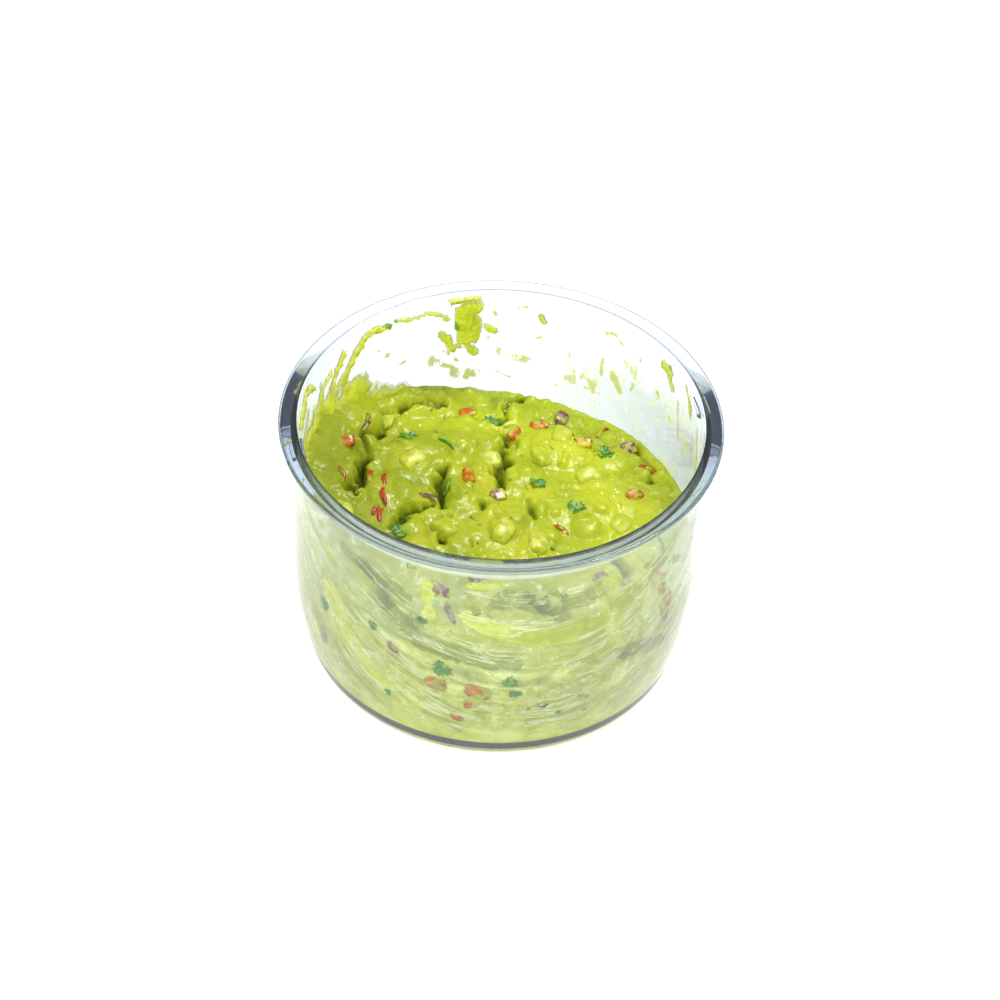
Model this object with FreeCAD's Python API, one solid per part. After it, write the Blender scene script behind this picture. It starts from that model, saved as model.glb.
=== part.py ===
"""Clear work bowl of a hand food processor, with its cutter on the spindle and a batch of guacamole.

Millimetres, +Z up. The origin is on the bowl's axis, at the level that the grip ring stands on.
-Y is the front. Each named piece is written to parts/NAME.step.
"""

import FreeCAD
import Part
import math
import os

from FreeCAD import Placement, Rotation, Vector

# ---- bowl
bowl_height = 103.0        # standing surface to the top of the lip
wall = 2.4                 # side and floor
wall_radius = 73.6         # outside of the upright side
side_draw = 13.6           # how far the foot's flat stops inside the upright side
corner_radius = 9.5        # outside, foot to side
curve_height = 50.5        # where the side's lower curve becomes upright
recess_depth = 0.8         # hollow under the floor, inside the grip ring
recess_land = 3.0          # flat between the hollow and the grip ring
lip_overhang = 4.4         # from the outside of the side to the lip's edge
lip_thickness = 1.8        # at the lip's edge
lip_slope = 3.4            # the underside drops this far from the edge back to the side
lip_inner_round = 0.7

# ---- lugs that the lid twists under, moulded on the inside of the side
lug_count = 4
lug_width = 9.5
lug_height = 2.4
lug_reach = 1.5            # from the side towards the axis
lug_drop = 4.2             # top of the lip to the top of a lug
lug_phase = 13.0           # degrees, first lug from +X

# ---- grip ring under the foot
ring_inset = 3.0           # from the foot's edge to the ring
ring_width = 4.5
ring_thickness = 1.6
ring_proud = 0.5           # the ring stands this far below the foot

# ---- spindle
boss_radius = 4.6
boss_height = 9.0          # above the inside of the floor
pin_radius = 2.5
pin_length = 30.0
pin_depth = 8.0            # pressed into the boss
pin_chamfer = 0.5

# ---- cutter
running_gap = 0.04         # radial, bush on pin
free_gap = 0.6             # between the cutter and what it turns past
bush_wall = 2.4
bush_length = 13.0
stem_wall = 3.0
flange_reach = 3.0         # stem's bottom flange, past the stem
flange_thickness = 3.0
key_depth = 1.2            # the two flats on the stem, and in the blades
blade_thickness = 1.0
blade_past_foot = 1.0      # the tips reach this far beyond the foot's flat
blade_root_width = 15.0
blade_bow = 17.0           # how far the sickle's back edge bows
blade_trail = 25.0         # degrees that the tip trails the blade's root
blade_pitch = 12.0         # lower to middle and middle to upper blade
blade_ring = 3.0           # the blade's ring, past the stem
blade_turn = 120.0         # degrees from one blade to the next
cap_height = 8.0
nose_height = 5.0          # drive nose on the cap
nose_across = 8.0          # across the hexagon's flats
first_blade_angle = 200.0  # degrees, lower blade's tip from +X

# ---- guacamole: the bowl filled up to a low, leaning dome
food_radius = 500.0        # the dome's sphere
food_cover = 13.9          # food over the drive nose, on the axis
food_lean = 56.0           # the dome's top lies this far towards -X
food_gap = 1.2             # between the food and the cutter's sweep

# ---- cut vegetables, laid by hand. Each place is the direction from the axis in degrees,
# ---- the share of the way to the side, the turn and the tilt in degrees
dice_buried = 0.55         # share of each one's thickness below the dome
tomato_size = (6.8, 4.6, 3.2)
tomato_places = (
    (84, 0.68, 60, 25), (75, 0.77, 10, 15), (21, 0.75, 30, 25), (125, 0.27, 100, 30), (157, 0.86, 15, 25),
    (103, 0.81, 20, 10), (55, 0.75, 5, 20), (340, 0.85, 60, 15), (266, 0.73, 50, 15),
)
tomato_sliver_size = (9.5, 1.7, 1.4)
tomato_sliver_places = (
    (167, 0.67, 85, 10), (188, 0.61, 75, 20), (54, 0.90, 50, 15), (33, 0.90, 165, 10), (355, 0.32, 130, 10),
    (300, 0.38, 170, 10), (169, 0.82, 110, 10),
)
onion_size = (5.6, 4.8, 3.0)
onion_places = (
    (90, 0.13, 25, 15), (69, 0.88, 70, 20), (42, 0.90, 20, 30), (243, 0.63, 80, 20), (260, 0.47, 40, 25),
    (322, 0.67, 120, 20),
)
onion_sliver_size = (11.5, 1.9, 1.2)
onion_sliver_places = (
    (171, 0.38, 155, 15), (88, 0.88, 42, 10), (144, 0.86, 80, 10), (254, 0.74, 100, 15), (318, 0.83, 150, 10),
)
leaf_size = (8.0, 5.5, 0.6)
leaf_places = (
    (15, 0.41, 20, 8), (134, 0.68, 160, 10), (94, 0.73, 15, 8), (54, 0.34, 100, 12), (206, 0.53, 30, 10),
    (226, 0.58, 75, 12), (44, 0.76, 95, 8), (246, 0.88, 120, 10),
)
stem_size = (9.0, 1.1, 1.1)
stem_places = (
    (121, 0.54, 130, 6), (192, 0.47, 140, 8), (155, 0.28, 70, 8), (355, 0.84, 100, 8), (307, 0.62, 35, 8),
)
avocado_size = (9.5, 6.5, 5.5)
avocado_places = (
    (318, 0.28, 95, 12), (40, 0.60, 30, 16), (64, 0.72, 80, 10), (98, 0.44, 20, 14), (66, 0.52, 110, 18),
    (5, 0.63, 60, 15), (146, 0.54, 40, 12), (211, 0.31, 140, 16), (132, 0.86, 10, 12), (283, 0.15, 60, 14),
    (192, 0.79, 100, 10), (299, 0.80, 25, 15),
)

# ---- food left on the inside of the side. Each patch is its direction and width in degrees, and its
# ---- bottom and top as shares of the way from the food up to the lip
smear_thickness = 1.1
smear_places = (
    (102, 9.0, 0.43, 0.82), (103, 7.0, 0.92, 0.96), (101, 5.5, 0.33, 0.42), (116, 16.0, 0.82, 0.86),
    (134, 9.5, 0.77, 0.89), (142, 5.0, 0.59, 0.79), (146, 4.5, 0.39, 0.58), (149, 3.0, 0.64, 0.82),
    (153, 3.5, 0.48, 0.69), (167, 5.0, 0.61, 0.87), (150, 31.0, 0.09, 0.29), (79, 3.5, 0.70, 0.81),
    (68, 3.5, 0.83, 0.92), (53, 3.0, 0.72, 0.84), (45, 3.5, 0.60, 0.71), (34, 3.5, 0.73, 0.93),
    (21, 2.5, 0.78, 0.93), (59, 3.5, 0.20, 0.40),
)

# ---- worked out from the sizes above
foot_radius = wall_radius - side_draw
rim_radius = wall_radius + lip_overhang
ring_outer = foot_radius - ring_inset
ring_inner = ring_outer - ring_width
recess_radius = ring_inner - recess_land - recess_depth
blade_reach = foot_radius + blade_past_foot
foot_level = ring_proud
floor_level = foot_level + wall
inner_radius = wall_radius - wall
lip_level = bowl_height - lip_thickness
boss_top = floor_level + boss_height
pin_bottom = boss_top - pin_depth
pin_top = pin_bottom + pin_length
bush_bore = pin_radius + running_gap
bush_outer = bush_bore + bush_wall
bush_bottom = boss_top + free_gap / 2
bush_top = bush_bottom + bush_length
skirt_bore = max(bush_outer, boss_radius + free_gap)
stem_radius = skirt_bore + stem_wall
stem_bottom = floor_level + 2 * free_gap
flange_top = stem_bottom + flange_thickness
collar_radius = stem_radius + blade_ring
blade_levels = [flange_top + n * blade_pitch for n in range(3)]
stem_top = blade_levels[-1] + blade_thickness + cap_height / 2
cap_bottom = blade_levels[-1] + blade_thickness
cap_top = cap_bottom + cap_height
nose_top = cap_top + nose_height
food_height = nose_top + food_cover
dome_centre = food_height - math.sqrt(food_radius**2 - food_lean**2)


def side_arcs(shift):
    """Radii and centres of the corner arc and the side's long arc, both moved inwards by shift.

    The corner arc meets the foot and the long arc, and the long arc meets the upright side, all smoothly.
    """
    rise = curve_height - foot_level
    step = wall_radius - foot_radius
    long_radius = (step**2 + (rise - corner_radius) ** 2 - corner_radius**2) / (2 * (step - corner_radius))
    corner = Vector(foot_radius, 0, foot_level + corner_radius)
    long_centre = Vector(wall_radius - long_radius, 0, curve_height)
    join = (corner - long_centre).normalize()
    return corner, corner_radius - shift, long_centre, long_radius - shift, join


def on_arc(centre, radius, direction):
    """The point of a circle in the XZ plane that lies in a direction from its centre."""
    return centre + Vector(direction).normalize() * radius


def side_edges(shift):
    """Edges of the foot's corner and the side's curve, from the foot upwards, and their two ends."""
    corner, small, long_centre, long, join = side_arcs(shift)
    start = on_arc(corner, small, Vector(0, 0, -1))
    middle = on_arc(corner, small, join + Vector(0, 0, -1))
    meet = on_arc(corner, small, join)
    halfway = on_arc(long_centre, long, join + Vector(1, 0, 0))
    end = on_arc(long_centre, long, Vector(1, 0, 0))
    return [Part.Arc(start, middle, meet).toShape(), Part.Arc(meet, halfway, end).toShape()], start, end


def point(radius, height):
    return Vector(radius, 0, height)


def line(start, end):
    return Part.LineSegment(start, end).toShape()


def polyline(points):
    return [line(a, b) for a, b in zip(points, points[1:])]


def spun(edges):
    """A solid of revolution about the Z axis, from edges that close an outline in the XZ plane."""
    face = Part.Face(Part.Wire(Part.__sortEdges__(edges)))
    return face.revolve(Vector(0, 0, 0), Vector(0, 0, 1), 360)


def disc(radius, bottom, top):
    return Part.makeCylinder(radius, top - bottom, Vector(0, 0, bottom))


def tube(outer, inner, bottom, top):
    return disc(outer, bottom, top).cut(disc(inner, bottom - 1, top + 1))


def turned(shape, degrees):
    copy = shape.copy()
    copy.rotate(Vector(0, 0, 0), Vector(0, 0, 1), degrees)
    return copy


# ---- bowl

def lip_edges(start, end):
    """Edges of the lip, from the outside of the side at start, round to the inside of the side at end."""
    edge_radius = lip_thickness / 2
    under = point(rim_radius - edge_radius, lip_level)
    over = point(rim_radius - edge_radius, bowl_height)
    inner_top = point(inner_radius + lip_inner_round, bowl_height)
    inner_side = point(inner_radius, bowl_height - lip_inner_round)
    inner_slant = lip_inner_round * (1 - math.sqrt(0.5))
    inner_middle = point(inner_radius + inner_slant, bowl_height - inner_slant)
    root = point(wall_radius, lip_level - lip_slope)
    return [
        line(start, root),
        line(root, under),
        Part.Arc(under, point(rim_radius, lip_level + edge_radius), over).toShape(),
        line(over, inner_top),
        Part.Arc(inner_top, inner_middle, inner_side).toShape(),
        line(inner_side, end),
    ]


def lugs():
    """The four lugs, each a wedge of a ring whose underside slopes back to the side."""
    top = bowl_height - lug_drop
    tip = inner_radius - lug_reach
    bite = wall / 2
    section = polyline([
        point(inner_radius + bite, top), point(tip, top), point(tip, top - lug_height / 2),
        point(inner_radius + bite, top - lug_height - bite), point(inner_radius + bite, top),
    ])
    sweep = math.degrees(lug_width / inner_radius)
    wedge = Part.Face(Part.Wire(section)).revolve(Vector(0, 0, 0), Vector(0, 0, 1), sweep)
    return [turned(wedge, lug_phase + n * 360 / lug_count - sweep / 2) for n in range(lug_count)]


def bowl():
    outer, foot_outside, outer_end = side_edges(0)
    inner, foot_inside, inner_end = side_edges(wall)
    under = polyline([
        point(0, foot_level + recess_depth), point(recess_radius, foot_level + recess_depth),
        point(recess_radius + recess_depth, foot_level),
        point(ring_inner, foot_level), point(ring_inner, ring_thickness),
        point(ring_outer, ring_thickness), point(ring_outer, foot_level), foot_outside,
    ])
    spindle_seat = polyline([
        foot_inside, point(boss_radius, floor_level), point(boss_radius, boss_top),
        point(pin_radius, boss_top), point(pin_radius, pin_bottom), point(0, pin_bottom),
        point(0, foot_level + recess_depth),
    ])
    shell = spun(under + outer + lip_edges(outer_end, inner_end) + inner + spindle_seat)
    return shell.fuse(lugs()).removeSplitter()


def grip_ring():
    return tube(ring_outer, ring_inner, 0, ring_thickness)


def spindle_pin():
    pin = disc(pin_radius, pin_bottom, pin_top)
    tip = [edge for edge in pin.Edges if edge.BoundBox.ZMin > pin_top - pin_chamfer]
    return pin.makeChamfer(pin_chamfer, tip)


# ---- cutter

def keyed(bottom, top):
    """The stem's outside with its two flats."""
    across = 2 * (stem_radius - key_depth)
    slab = Part.makeBox(4 * stem_radius, across, top - bottom, Vector(-2 * stem_radius, -across / 2, bottom))
    return disc(stem_radius, bottom, top).common(slab)


def cutter_stem():
    body = disc(stem_radius, stem_bottom, flange_top)
    body = body.fuse(disc(stem_radius + flange_reach, stem_bottom, flange_top))
    body = body.fuse(keyed(flange_top, stem_top))
    body = body.cut(disc(skirt_bore, stem_bottom - 1, bush_bottom))
    body = body.cut(disc(bush_outer, stem_bottom - 1, bush_top))
    body = body.cut(disc(pin_radius + free_gap, bush_top - 1, pin_top + free_gap))
    return body.removeSplitter()


def stem_bush():
    return tube(bush_outer, bush_bore, bush_bottom, bush_top)


def blade(number):
    """A sickle of sheet steel on a keyed ring. Its outside edge bows forward and its tip trails."""
    bottom = blade_levels[number]
    half = blade_root_width / 2
    trail = math.radians(-blade_trail)
    tip = Vector(blade_reach * math.cos(trail), blade_reach * math.sin(trail), bottom)
    back_root = Vector(0, half, bottom)
    front_root = Vector(0, -half, bottom)
    back_bow = Vector(0.62 * tip.x, blade_bow, bottom)
    front_bow = Vector(0.55 * tip.x, 0.12 * blade_bow, bottom)
    outline = Part.Wire([
        Part.Arc(back_root, back_bow, tip).toShape(),
        Part.Arc(tip, front_bow, front_root).toShape(),
        line(front_root, back_root),
    ])
    arm = Part.Face(outline).extrude(Vector(0, 0, blade_thickness))
    ring = disc(collar_radius, bottom, bottom + blade_thickness)
    turn = first_blade_angle + number * blade_turn
    plate = turned(ring.fuse(arm), turn).cut(keyed(bottom - 1, bottom + blade_thickness + 1))
    return plate.removeSplitter()


def spacer(number):
    bottom = blade_levels[number] + blade_thickness
    collar = disc(collar_radius, bottom, blade_levels[number + 1])
    return collar.cut(keyed(bottom - 1, blade_levels[number + 1] + 1))


def stem_cap():
    """The cap that clamps the blades, with the hexagonal drive nose that the lid turns."""
    cap = disc(collar_radius, cap_bottom, cap_top).cut(keyed(cap_bottom - 1, stem_top))
    corner = nose_across / math.sqrt(3)
    spots = [Vector(corner * math.cos(n * math.pi / 3), corner * math.sin(n * math.pi / 3), cap_top)
             for n in range(6)]
    nose = Part.Face(Part.makePolygon(spots + spots[:1])).extrude(Vector(0, 0, nose_height))
    return cap.fuse(nose).removeSplitter()


# ---- food

def dome_height(x, y):
    """Height of the food's surface above the standing surface."""
    return dome_centre + math.sqrt(food_radius**2 - (x + food_lean) ** 2 - y**2)


def polar(direction, radius):
    angle = math.radians(direction)
    return radius * math.cos(angle), radius * math.sin(angle)


def dice(size, places):
    """A group of small blocks that lie partly buried in the food's surface."""
    length, width, thickness = size
    corner = Vector(-length / 2, -width / 2, -thickness * dice_buried)
    group = []
    for direction, share, turn, tilt in places:
        x, y = polar(direction, share * inner_radius)
        block = Part.makeBox(length, width, thickness, corner)
        spin = Rotation(Vector(0, 0, 1), turn).multiply(Rotation(Vector(1, 0, 0), tilt))
        block.Placement = Placement(Vector(x, y, dome_height(x, y)), spin)
        group.append(block)
    return Part.makeCompound(group)


def wall_smears():
    """A group of flat patches on the inside of the bowl's side, above the food."""
    group = []
    for direction, width, bottom_share, top_share in smear_places:
        food_level = dome_height(*polar(direction, inner_radius))
        bottom = food_level + bottom_share * (bowl_height - food_level)
        top = food_level + top_share * (bowl_height - food_level)
        section = Part.makePolygon([
            point(inner_radius, bottom), point(inner_radius, top),
            point(inner_radius - smear_thickness, top), point(inner_radius - smear_thickness, bottom),
            point(inner_radius, bottom),
        ])
        patch = Part.Face(section).revolve(Vector(0, 0, 0), Vector(0, 0, 1), width)
        group.append(turned(patch, direction - width / 2).cut(lugs()))
    return Part.makeCompound(group)


def cutter_sweep():
    """The room that the turning cutter takes, with a clearance all round."""
    room = disc(collar_radius + food_gap, floor_level - 1, nose_top + food_gap)
    room = room.fuse(disc(stem_radius + flange_reach + food_gap, floor_level - 1, flange_top + food_gap))
    for level in blade_levels:
        room = room.fuse(disc(blade_reach + food_gap, level - food_gap, level + blade_thickness + food_gap))
    return room


def guacamole(buried):
    inner, foot_inside, inner_end = side_edges(wall)
    brim = point(inner_radius, bowl_height)
    outline = inner + polyline([inner_end, brim, point(0, bowl_height), point(0, floor_level), foot_inside])
    dome = Part.makeSphere(food_radius, Vector(-food_lean, 0, dome_centre))
    return spun(outline).common(dome).cut(cutter_sweep()).cut(buried)


# ---- the pieces

def build():
    vegetables = {
        "tomato_dice": dice(tomato_size, tomato_places),
        "tomato_slivers": dice(tomato_sliver_size, tomato_sliver_places),
        "red_onion_dice": dice(onion_size, onion_places),
        "red_onion_slivers": dice(onion_sliver_size, onion_sliver_places),
        "coriander_leaves": dice(leaf_size, leaf_places),
        "coriander_stems": dice(stem_size, stem_places),
        "avocado_chunks": dice(avocado_size, avocado_places),
    }
    pieces = {
        "bowl": bowl(),
        "grip_ring": grip_ring(),
        "spindle_pin": spindle_pin(),
        "cutter_stem": cutter_stem(),
        "stem_bush": stem_bush(),
        "lower_blade": blade(0),
        "middle_blade": blade(1),
        "upper_blade": blade(2),
        "lower_spacer": spacer(0),
        "upper_spacer": spacer(1),
        "stem_cap": stem_cap(),
        "guacamole": guacamole(list(vegetables.values())),
        "wall_smears": wall_smears(),
    }
    pieces.update(vegetables)
    return pieces


def main():
    os.makedirs("parts", exist_ok=True)
    for name, shape in build().items():
        shape.exportStep(f"parts/{name}.step")
        solids = len(shape.Solids)
        print(f"{name:18s} {shape.Volume / 1000:8.2f} cm3  solids {solids}  valid {shape.isValid()}")


main()
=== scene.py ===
"""Clear work bowl of a hand food processor, full of chunky guacamole. Metres, +Z up, -Y is the front."""

import math

import bmesh
import bpy
import numpy as np
from mathutils import Matrix, Vector


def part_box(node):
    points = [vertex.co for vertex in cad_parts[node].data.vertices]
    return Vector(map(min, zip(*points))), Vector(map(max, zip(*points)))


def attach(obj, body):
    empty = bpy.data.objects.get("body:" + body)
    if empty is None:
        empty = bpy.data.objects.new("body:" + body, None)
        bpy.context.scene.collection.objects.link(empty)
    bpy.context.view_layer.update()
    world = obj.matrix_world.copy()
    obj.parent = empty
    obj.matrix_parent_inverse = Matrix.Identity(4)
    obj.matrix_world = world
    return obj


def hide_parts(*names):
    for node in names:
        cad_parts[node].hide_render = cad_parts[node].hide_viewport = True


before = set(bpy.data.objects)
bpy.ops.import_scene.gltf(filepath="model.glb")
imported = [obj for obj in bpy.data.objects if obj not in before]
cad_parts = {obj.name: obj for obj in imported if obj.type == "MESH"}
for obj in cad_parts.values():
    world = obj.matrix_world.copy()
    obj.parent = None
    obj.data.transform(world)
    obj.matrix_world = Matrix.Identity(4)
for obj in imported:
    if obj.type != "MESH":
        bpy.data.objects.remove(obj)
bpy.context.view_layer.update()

# ---- sizes read from the frame
food_low, food_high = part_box("guacamole")
bowl_low, bowl_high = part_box("bowl")
floor_level = food_low.z
lip_level = bowl_high.z
inner_radius = (food_high.x - food_low.x) / 2

# ---- sizes chosen here, in metres
food_wetting = 0.0002      # how far the food reaches into the plastic that it wets
film_wetting = 0.0003
grid_step = 0.0004         # height field of the food's surface
surface_rows = 250         # points along one side of the surface's grid
side_rings = 24
smear_step = 0.00042       # grid of the smears on the wall
film_columns, film_rows = 620, 150
film_drop = 0.0044         # from the top of the lip to the film's upper edge, and the depth of its milky ring
film_foot = 0.012          # lower edge of the film
painted_lip_lines = ((0.0718, 0.0004), (0.0772, 0.0006))    # radius and half width of the dark lines of painted shade on the lip
painted_lip_line_depth = 0.0012    # they reach this far below the lip's top
wall_bit_start = 4         # the shapes from this one on are the uneven ones, for bits on the wall


# ---------------------------------------------------------------- node trees

class Wire:
    """An output of a node. Sums and products of wires add Math nodes."""

    def __init__(self, tree, socket):
        self.tree = tree
        self.socket = socket

    def maths(self, operation, *others):
        return self.tree.maths(operation, self, *others)

    def __add__(self, other):
        return self.maths("ADD", other)

    def __sub__(self, other):
        return self.maths("SUBTRACT", other)

    def __rsub__(self, other):
        return self.tree.maths("SUBTRACT", other, self)

    def __mul__(self, other):
        return self.maths("MULTIPLY", other)

    __radd__ = __add__
    __rmul__ = __mul__


class Tree:
    """A node tree that is built by one method."""

    def __init__(self, tree):
        self.tree = tree

    def node(self, kind, settings=None, sockets=None, output=0):
        made = self.tree.nodes.new(kind)
        for name, value in (settings or {}).items():
            if name == "stops":
                set_stops(made.color_ramp, value)
            else:
                setattr(made, name, value)
        for key, value in (sockets or {}).items():
            if isinstance(value, Wire):
                self.tree.links.new(value.socket, made.inputs[key])
            else:
                made.inputs[key].default_value = value
        return Wire(self, made.outputs[output]) if made.outputs else None

    def maths(self, operation, *values):
        return self.node("ShaderNodeMath", {"operation": operation}, dict(enumerate(values)))

    def parts(self, at):
        """The x, y and z of a vector."""
        split = self.node("ShaderNodeSeparateXYZ", sockets={"Vector": at}).socket.node
        return [Wire(self, split.outputs[n]) for n in range(3)]

    def ramp(self, value, stops):
        return self.node("ShaderNodeValToRGB", {"stops": stops}, {"Fac": value})


def set_stops(ramp, stops):
    while len(ramp.elements) < len(stops):
        ramp.elements.new(1.0)
    for element, (position, colour) in zip(ramp.elements, stops):
        element.position = position
        element.color = (*colour, 1.0)


class Finish(Tree):
    """A material."""

    def __init__(self, name):
        self.material = bpy.data.materials.new(name)
        self.material.use_nodes = True
        super().__init__(self.material.node_tree)
        self.tree.nodes.clear()

    def place(self):
        return self.node("ShaderNodeTexCoord", output="Object")

    def stretched(self, scale):
        return self.node("ShaderNodeMapping", sockets={"Vector": self.place(), "Scale": scale})

    def noise(self, at, scale, detail=3.0, roughness=0.5, distortion=0.0):
        return self.node("ShaderNodeTexNoise", sockets={
            "Vector": at, "Scale": scale, "Detail": detail, "Roughness": roughness, "Distortion": distortion})

    def attribute(self, name):
        return self.node("ShaderNodeAttribute", {"attribute_name": name}, output="Fac")

    def between(self, value, low, high, to_low=0.0, to_high=1.0):
        """A smooth step from to_low, where value is low, to to_high, where it is high."""
        return self.node("ShaderNodeMapRange", {"interpolation_type": "SMOOTHSTEP"}, {
            "Value": value, "From Min": low, "From Max": high, "To Min": to_low, "To Max": to_high})

    def blended(self, factor, first, second):
        first, second = (c if isinstance(c, Wire) else (*c, 1.0) for c in (first, second))
        return self.node("ShaderNodeMix", {"data_type": "RGBA"}, {0: factor, 6: first, 7: second}, 2)

    def highest(self, first, *others):
        for other in others:
            first = self.maths("MAXIMUM", first, other)
        return first

    def near_ring(self, at, radius, half):
        """1 on the upright cylinder of the given radius round the middle, 0 further away than half."""
        flat = self.node("ShaderNodeVectorMath", {"operation": "MULTIPLY"}, {0: at, 1: (1.0, 1.0, 0.0)})
        out = self.node("ShaderNodeVectorMath", {"operation": "LENGTH"}, {0: flat}, 1)
        away = self.maths("ABSOLUTE", out - radius)
        return self.between(away, half * 0.5, half, 1.0, 0.0)

    def bump(self, height, distance, strength=1.0, normal=None):
        sockets = {"Height": height, "Distance": distance, "Strength": strength}
        if normal:
            sockets["Normal"] = normal
        return self.node("ShaderNodeBump", sockets=sockets)

    def surface(self, **sockets):
        """A Principled shader. Its sockets are named with underscores for spaces."""
        named = {key.replace("_", " "): value for key, value in sockets.items()}
        return self.node("ShaderNodeBsdfPrincipled", sockets=named)

    def gloss(self, pattern, low, high):
        """Roughness from low to high over the middle of a noise's range."""
        return self.between(pattern, 0.3, 0.7, low, high)

    def finished(self, **sockets):
        return self.done(self.surface(**sockets))

    def done(self, shader, inside=None):
        sockets = {"Surface": shader}
        if inside:
            sockets["Volume"] = inside
        self.node("ShaderNodeOutputMaterial", sockets=sockets)
        return self.material


# ---------------------------------------------------------------- finishes

def clear_plastic():
    """Moulded clear plastic with faint rub marks. It lets lamps through to the food. Dark grey-blue lines of
    painted shade run along the lip's inner and outer edges.
    """
    f = Finish("clear_plastic")
    at = f.place()
    ripple = f.noise(at, 45.0, 1.0)
    rubs = f.noise(f.stretched((60.0, 60.0, 900.0)), 1.0, 4.0, 0.6)
    rubbed = f.between(rubs, 0.62, 0.8)
    inner, outer = (f.near_ring(at, *edge) for edge in painted_lip_lines)
    edges = inner + outer
    on_lip = f.between(f.parts(at)[2], lip_level - painted_lip_line_depth, lip_level - 0.0007)
    # Painted shade: the colour turns dark grey-blue along both edges of the lip, standing in for the dark
    # refracted lines of the rim.
    tone = f.blended(edges * on_lip, (0.94, 0.97, 1.0), (0.26, 0.28, 0.32))
    plastic = f.surface(Base_Color=tone, Transmission_Weight=0.98, IOR=1.5,
                        Roughness=0.015 + rubbed * 0.06, Normal=f.bump(ripple, 0.00005, 0.3))
    open_to_lamps = f.node("ShaderNodeBsdfTransparent", sockets={"Color": (0.93, 0.96, 0.97, 1.0)})
    shadow = f.node("ShaderNodeLightPath", output="Is Shadow Ray")
    tint = f.node("ShaderNodeVolumeAbsorption", sockets={"Color": (0.10, 0.26, 0.52, 1.0), "Density": 58.0})
    return f.done(f.node("ShaderNodeMixShader", sockets={0: shadow, 1: plastic, 2: open_to_lamps}), tint)


def grip_rubber():
    f = Finish("grip_rubber")
    grain = f.noise(f.place(), 2600.0, 2.0)
    colour = f.blended(grain, (0.012, 0.018, 0.03), (0.03, 0.04, 0.055))
    return f.finished(Base_Color=colour, Roughness=f.gloss(grain, 0.45, 0.65),
                      Normal=f.bump(grain, 0.0001, 0.5))


def stainless_steel():
    f = Finish("stainless_steel")
    at = f.place()
    brushing = f.noise(f.stretched((4000.0, 160.0, 160.0)), 1.0, 4.0, 0.7)
    stains = f.noise(at, 90.0, 3.0)
    colour = f.blended(stains, (0.58, 0.59, 0.6), (0.78, 0.78, 0.77))
    return f.finished(Base_Color=colour, Metallic=1.0, Roughness=f.between(brushing, 0.2, 0.8, 0.18, 0.42),
                      Normal=f.bump(brushing, 0.00003, 0.5))


def moulded_plastic(name, light, dark):
    f = Finish(name)
    at = f.place()
    grain = f.noise(at, 1800.0, 2.0)
    cloud = f.noise(at, 60.0, 3.0)
    return f.finished(Base_Color=f.blended(cloud, dark, light), Roughness=f.gloss(grain, 0.3, 0.45),
                      Normal=f.bump(grain, 0.00006, 0.4))


def mash_colour_with_painted_light(f, at):
    """Yellow-green mash in random tones, with painted light making it paler towards the right and the back,
    and painted shade making it darker olive towards the left.
    """
    cloud = f.noise(at, 60.0, 3.0, 0.55)
    grain = f.noise(at, 330.0, 4.0, 0.6)
    across, away, _ = f.parts(at)
    mash = f.ramp(cloud * 0.7 + grain * 0.3, [
        (0.32, (0.30, 0.37, 0.012)), (0.46, (0.40, 0.47, 0.014)), (0.58, (0.50, 0.54, 0.018)),
        (0.72, (0.66, 0.64, 0.04)),
    ])
    # Painted light: paler towards the right.
    mash = f.blended(f.between(across, 0.005, 0.05, 0.0, 0.5), mash, (0.66, 0.69, 0.03))
    # Painted shade: darker olive towards the left.
    mash = f.blended(f.between(across, -0.07, 0.02, 0.6, 0.0), mash, (0.23, 0.27, 0.018))
    # Painted light: paler towards the back.
    return f.blended(f.between(away, 0.02, 0.065, 0.0, 0.45), mash, (0.68, 0.74, 0.025))


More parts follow.
